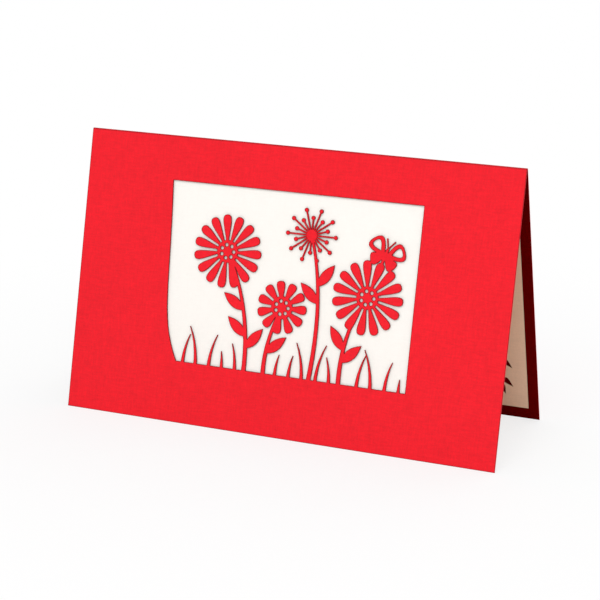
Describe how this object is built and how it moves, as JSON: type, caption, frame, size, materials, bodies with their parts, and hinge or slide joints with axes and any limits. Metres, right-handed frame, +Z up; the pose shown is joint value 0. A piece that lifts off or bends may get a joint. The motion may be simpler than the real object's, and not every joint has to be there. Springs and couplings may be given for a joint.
{
  "type": "folded greeting card",
  "caption": "Red folded greeting card standing as a tent, with a paper-cut meadow in its front window and a cream liner sheet inside.",
  "frame": {"origin": "on the surface that the card stands on, below the middle of the fold", "axes": "+X along the fold to the right as seen from the front, +Y from the front panel to the back panel, +Z up to the fold"},
  "size_m": [0.2, 0.0652, 0.1207],
  "materials": {
    "cover_card": "matt red card stock with a fine grain",
    "liner_paper": "matt cream writing paper"
  },
  "bodies": {
    "root": {"cover": "cover_card", "liner": "liner_paper"}
  },
  "joints": []
}
